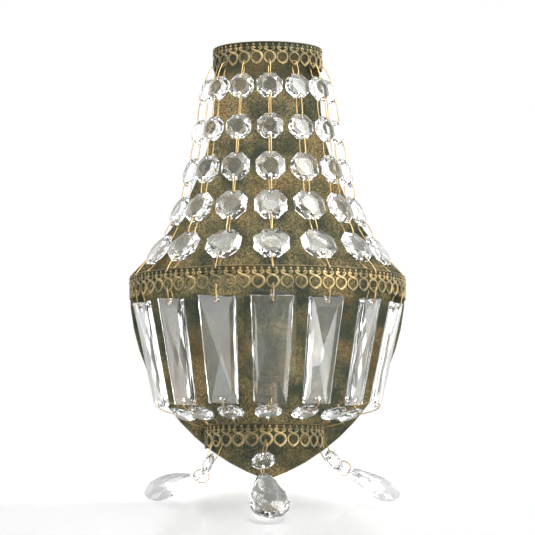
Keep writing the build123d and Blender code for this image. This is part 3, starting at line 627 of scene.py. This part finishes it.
# Each prism has a thin bevel round its edge, a frame facet inside that, and four facets that meet at a low
# point near its middle, the same on the back. On their loops the outer ones have turned further out.
PRISM_ROWS = ((0, 0, 0.9), (0.4, 0.4, 1.7), (2.9, 6.5, 2.4))  # inset from the sides, from the ends, height
PRISM_APEX = 3.4
APEX_DROP = 0.03  # of the length, below the middle
PRISM_TAPER = 6.0  # how much narrower the foot is than the head
PRISM_BEVEL = 0.16
PRISM_HOLE_TO_END = 3.25
PRISM_TURNS = (-12, -20, -15, 0, 15, 20, 12)  # degrees, from the left
_, prism_sizes = lie_of(bits_of("prism_4")[0])
PRISM_HEAD, PRISM_LONG = float(prism_sizes[0]), float(prism_sizes[1])
PRISM_FOOT = PRISM_HEAD - PRISM_TAPER
prism_bm = bmesh.new()
for face in (1, -1):
    for inset, end_inset, height in PRISM_ROWS:
        for y in (PRISM_LONG / 2 - end_inset, end_inset - PRISM_LONG / 2):
            half = PRISM_FOOT / 2 + (PRISM_HEAD - PRISM_FOOT) / 2 * (y / PRISM_LONG + 0.5) - inset
            for x in (-half, half):
                prism_bm.verts.new((x, y, face * height))
    prism_bm.verts.new((0, -APEX_DROP * PRISM_LONG, face * PRISM_APEX))
wrapped(prism_bm)
bmesh.ops.bevel(
    prism_bm, geom=prism_bm.edges, offset=PRISM_BEVEL, segments=1, profile=0.5, affect="EDGES", material=-1
)
bmesh.ops.recalc_face_normals(prism_bm, faces=prism_bm.faces)
prism_holes = (PRISM_LONG / 2 - PRISM_HOLE_TO_END, PRISM_HOLE_TO_END - PRISM_LONG / 2)
prism_mesh = drilled(prism_bm, prism_holes, bore=PRISM_BORE)
for number, turn in enumerate(PRISM_TURNS, 1):
    bm = bmesh.new()
    lie, _ = lie_of(bits_of(f"prism_{number}")[0])
    laid(bm, prism_mesh, lie @ Matrix.Rotation(math.radians(turn), 4, "Y"))
    piece(f"crossed_prism_{number}", bm, crystal, "sconce", f"prism_{number}", smooth=False)

# The three almonds and their small beads hang free on wire, so each rides on its own body.
ALMOND_TAPER = 0.42  # how much narrower than an ellipse the head is, and wider the foot
ALMOND_FULL = 0.93  # keeps the widest corners inside the solid's width
ALMOND_HOLE_TO_HEAD = 3.52
joint_spots = {joint["child"]: Vector(joint["pos_m"]) for joint in frame["joints"]}
_, almond_sizes = lie_of(bits_of("centre_drop_almond")[0])
ALMOND_WIDE, ALMOND_LONG = float(almond_sizes[0]), float(almond_sizes[1])
# Rows of an almond's corners: share of its size, the point they draw in to, height, count and turn.
ALMOND_ROWS = (
    (1.0, 0, 0.8, 16, 0),
    (0.82, -ALMOND_LONG / 8, 2.9, 16, math.pi / 16),
    (0.6, -ALMOND_LONG / 7, 4.1, 8, 0),
    (0.34, -ALMOND_LONG / 6, 4.75, 8, math.pi / 8),
)
almond_bm = bmesh.new()
for face in (1, -1):
    for share, middle, height, count, turn in ALMOND_ROWS:
        for vert in ring_of(almond_bm, count, 1, face * height, turn):
            side, along = vert.co.x, vert.co.y
            vert.co.x = side * (1 - ALMOND_TAPER * along) * ALMOND_WIDE / 2 * share * ALMOND_FULL
            vert.co.y = middle + (along * ALMOND_LONG / 2 - middle) * share
almond_mesh = drilled(wrapped(almond_bm), (ALMOND_LONG / 2 - ALMOND_HOLE_TO_HEAD,))
for side in ("left", "centre", "right"):
    bead_piece(f"{side}_octagon", f"{side}_drop_bead", f"{side}_bead")
    almond = f"{side}_drop_almond"
    corners = bits_of(almond)[0]
    towards = joint_spots[f"{side}_almond"] - Vector(corners.mean(0))
    bm = bmesh.new()
    laid(bm, almond_mesh, lie_of(corners, towards)[0])
    piece(f"{side}_almond_cut", bm, crystal, f"{side}_almond", almond, smooth=False)

# ================================================================ wire links
# Every crystal hangs on loops of bright brass wire, bent by hand through the holes, so the front and back
# strands of a loop lie a little apart as seen from the front.
WIRE = 0.33  # radius
LOOP_CORNER = 1.5
DROP_LOOP_CORNER = 0.8
STRAND_APART = 0.5
BEND_REACH = 1.4  # corners of a CAD link nearer than this belong to one bend
JUMP_RING = 4.8  # radius of the ring between a drop's bead and its almond


def loop_points(corners, apart, rounding):
    """Control points of a rounded loop through the corners of a CAD link, its two long strands set apart."""
    left = [Vector(corner) for corner in corners]
    bends = []
    while left:
        near = [c for c in left if (c - left[0]).length < BEND_REACH * MM]
        bends.append(sum(near, Vector()) / len(near))
        left = [c for c in left if c not in near]
    middle = sum(bends, Vector()) / len(bends)
    across = (bends[0] - middle).cross(bends[1] - middle)
    if across.length < 1e-9:  # those two bends are opposite each other
        across = (bends[0] - middle).cross(bends[2] - middle)
    across.normalize()
    side = across.cross(Vector((0, 0, 1))).normalized()
    rise = side.cross(across)
    bends.sort(key=lambda c: math.atan2((c - middle).dot(rise), (c - middle).dot(side)))
    points = []
    for i, bend in enumerate(bends):
        shift = across * apart * MM * (1 if (bend - middle).dot(side) > 0 else -1)
        for other in (bends[i - 1], bends[(i + 1) % len(bends)]):
            along = (other - bend).normalized()
            upright = abs(along.dot(rise)) > 0.5
            points.append(bend + along * rounding * MM + (shift if upright else shift * 0.4))
    return points


def wire_piece(name, node, body, apart=STRAND_APART, rounding=LOOP_CORNER):
    """Round wire loops in place of a node's CAD links."""
    loops = [loop_points(corners, apart, rounding) for corners in bits_of(node)]
    bm = bmesh.new()
    add_wires(bm, loops, WIRE * MM, closed=True, order=3, steps=3)
    piece(name, bm, bright_wire, body, node)


bright_wire = worn_finish("gilt_wire", (0.52, 0.37, 0.17), (0.34, 0.23, 0.1), 900, 1.0, 0.32)
for number in range(1, 8):
    wire_piece(f"string_wire_{number}", f"string_links_{number}", "sconce")
    wire_piece(f"prism_wire_{number}", f"prism_links_{number}", "sconce")
for side in ("left", "centre", "right"):
    drop_link = f"{side}_drop_link"
    wire_piece(f"{side}_link_wire", drop_link, f"{side}_link", apart=0.0, rounding=DROP_LOOP_CORNER)
    lie, _ = lie_of(bits_of(f"{side}_drop_ring")[0])
    section = Matrix.Translation((JUMP_RING * MM, 0, 0)) @ Matrix.Rotation(math.pi / 2, 4, "X")
    bm = bmesh.new()
    bmesh.ops.create_circle(bm, segments=8, radius=WIRE * MM, matrix=section)
    turned_shut(bm, (0, 0, 0), 32)
    bmesh.ops.transform(bm, matrix=lie, verts=bm.verts)
    piece(f"{side}_jump_ring", bm, bright_wire, f"{side}_ring", f"{side}_drop_ring")

# ================================================================ table, lights and camera
# The sconce is photographed leaning back on a white glossy table top, tip down, so the table slopes in the
# frame of the sconce. A plain white studio surrounds it.
TABLE_SLOPE = math.radians(27)
TABLE_HALF = (0.8, 0.3)
TABLE_FORWARD = 0.285  # from the pan's tip to the table's middle, so that a strip lies behind the tip
# Painted shade in the crystals: seen through glass the table turns this grey, with almost no glow, so the
# facets look darker.
TABLE_PAINTED_GREY_IN_GLASS = (0.55, 0.55, 0.55)
FAR_EDGE_PAINTED_GLOW = (35 * MM, 6 * MM)  # before and behind the wall side of the pan, where a painted glow turns the table white and washes out its shadow
low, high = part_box("back_plate")
table_bm = bmesh.new()
bmesh.ops.create_grid(table_bm, x_segments=1, y_segments=1, size=1)
bmesh.ops.scale(table_bm, verts=table_bm.verts, vec=(*TABLE_HALF, 1))
bmesh.ops.translate(table_bm, verts=table_bm.verts, vec=(0, -TABLE_FORWARD, 0))
sloped = Matrix.Rotation(TABLE_SLOPE, 3, "X")
bmesh.ops.rotate(table_bm, verts=table_bm.verts, cent=(0, 0, 0), matrix=sloped)
bmesh.ops.translate(table_bm, verts=table_bm.verts, vec=(0, high.y, low.z))
table_mesh = bpy.data.meshes.new("table_top")
table_bm.to_mesh(table_mesh)
table_bm.free()
table = bpy.data.objects.new("table_top", table_mesh)
bpy.context.scene.collection.objects.link(table)
material, bare, place, shader = started("white_gloss")
speck = bare.noise(place, 40.0, 2.0)
through_glass = bare.add("ShaderNodeLightPath", {}, out="Is Transmission Ray")
white = bare.mixed(speck, (0.86, 0.86, 0.86), (0.88, 0.88, 0.88))
# Painted light: the table's glow rises to full white near the pan's wall side, hiding the shadow and the
# table's far edge there.
far_from, far_to = high.y - FAR_EDGE_PAINTED_GLOW[0], high.y + FAR_EDGE_PAINTED_GLOW[1]
far_edge_glow = bare.add("ShaderNodeSeparateXYZ", {0: place}, out=1).clear_of(far_from, far_to)
glow = bare.mixed(far_edge_glow, (0.16, 0.16, 0.16), (1, 1, 1))
joined(
    shader,
    Roughness=speck * 0.06 + 0.1,
    Base_Color=bare.mixed(through_glass, white, TABLE_PAINTED_GREY_IN_GLASS),
    Emission_Color=bare.mixed(through_glass, glow, (0.02, 0.02, 0.02)),
)
shader.inputs["Emission Strength"].default_value = 1.0
table_mesh.materials.append(material)

# The camera sees plain white. Glass and metal see a room of bright and dark panels by the way they look, and
# all else gets soft, even light.
BACK_WALL = 0.7
FRONT_WALL = 0.8
RIGHT_WINDOW = 9.0
LEFT_WINDOW = 3.5
SIDE_WALLS = 1.3
CEILING = 4.0
ROOM_DIM = 0.2
SOFT_LIGHT = 0.34
world = bpy.data.worlds.new("studio")
bpy.context.scene.world = world
world.use_nodes = True
sky = Socket(world.node_tree)
seen, glossy, through = (
    sky.add("ShaderNodeLightPath", {}, out=f"Is {kind} Ray") for kind in ("Camera", "Glossy", "Transmission")
)
mirrored = sky.maths("MAXIMUM", glossy, through)
direction = sky.add("ShaderNodeTexCoord", {}, out="Generated")
sideways, onward, upward = (sky.add("ShaderNodeSeparateXYZ", {0: direction}, out=way) for way in "XYZ")
back = onward.clear_of(0.2, 0.5)
front = 1 - onward.clear_of(-0.34, -0.14)
right = (sideways + onward * 0.8).clear_of(0.0, 0.12) * RIGHT_WINDOW
left = (onward * 1.1 - sideways).clear_of(0.0, 0.15) * LEFT_WINDOW
above = upward.clear_of(0.8, 0.88) * CEILING
beside = sky.maths("ABSOLUTE", sideways).clear_of(0.3, 0.55) * onward.clear_of(-0.1, 0.1) * SIDE_WALLS
room = back * BACK_WALL + front * (right + left + FRONT_WALL) + beside + above + ROOM_DIM
strength = seen + (1 - seen) * (mirrored * room + (1 - mirrored) * SOFT_LIGHT)
background = world.node_tree.nodes["Background"]
world.node_tree.links.new(strength.socket, background.inputs["Strength"])
background.inputs["Color"].default_value = (1, 1, 1, 1)

LIGHT_AIM = Vector((0, 0, -0.05))
for name, spot, size, power in (
    ("key", (0.55, -1.1, 1.5), 1.1, 22.5),
    ("fill", (1.1, -1.4, 0.3), 0.8, 5.0),
):
    lamp = bpy.data.lights.new(name, "AREA")
    lamp.shape = "SQUARE"
    lamp.size = size
    lamp.energy = power
    light = bpy.data.objects.new(name, lamp)
    light.location = spot
    light.rotation_euler = (LIGHT_AIM - Vector(spot)).to_track_quat("-Z", "Y").to_euler()
    bpy.context.scene.collection.objects.link(light)

# The sconce is photographed nearly head on, from a little to its left and below, through a long lens.
CAMERA_YAW = math.radians(2.0)
CAMERA_RISE = math.radians(5.3)
CAMERA_AWAY = 2.0
CAMERA_LENS = 215.3
PICTURE_MIDDLE = -0.0506  # the height that falls in the middle of the picture
view = Vector(
    (
        math.sin(CAMERA_YAW) * math.cos(CAMERA_RISE),
        math.cos(CAMERA_YAW) * math.cos(CAMERA_RISE),
        math.sin(CAMERA_RISE),
    )
)
eye = bpy.data.cameras.new("camera")
eye.sensor_width = 36.0
eye.lens = CAMERA_LENS
camera = bpy.data.objects.new("camera", eye)
camera.location = Vector((0, low.y, PICTURE_MIDDLE)) - view * CAMERA_AWAY
camera.rotation_euler = view.to_track_quat("-Z", "Y").to_euler()
bpy.context.scene.collection.objects.link(camera)
bpy.context.scene.camera = camera
bpy.context.scene.view_settings.view_transform = "Standard"
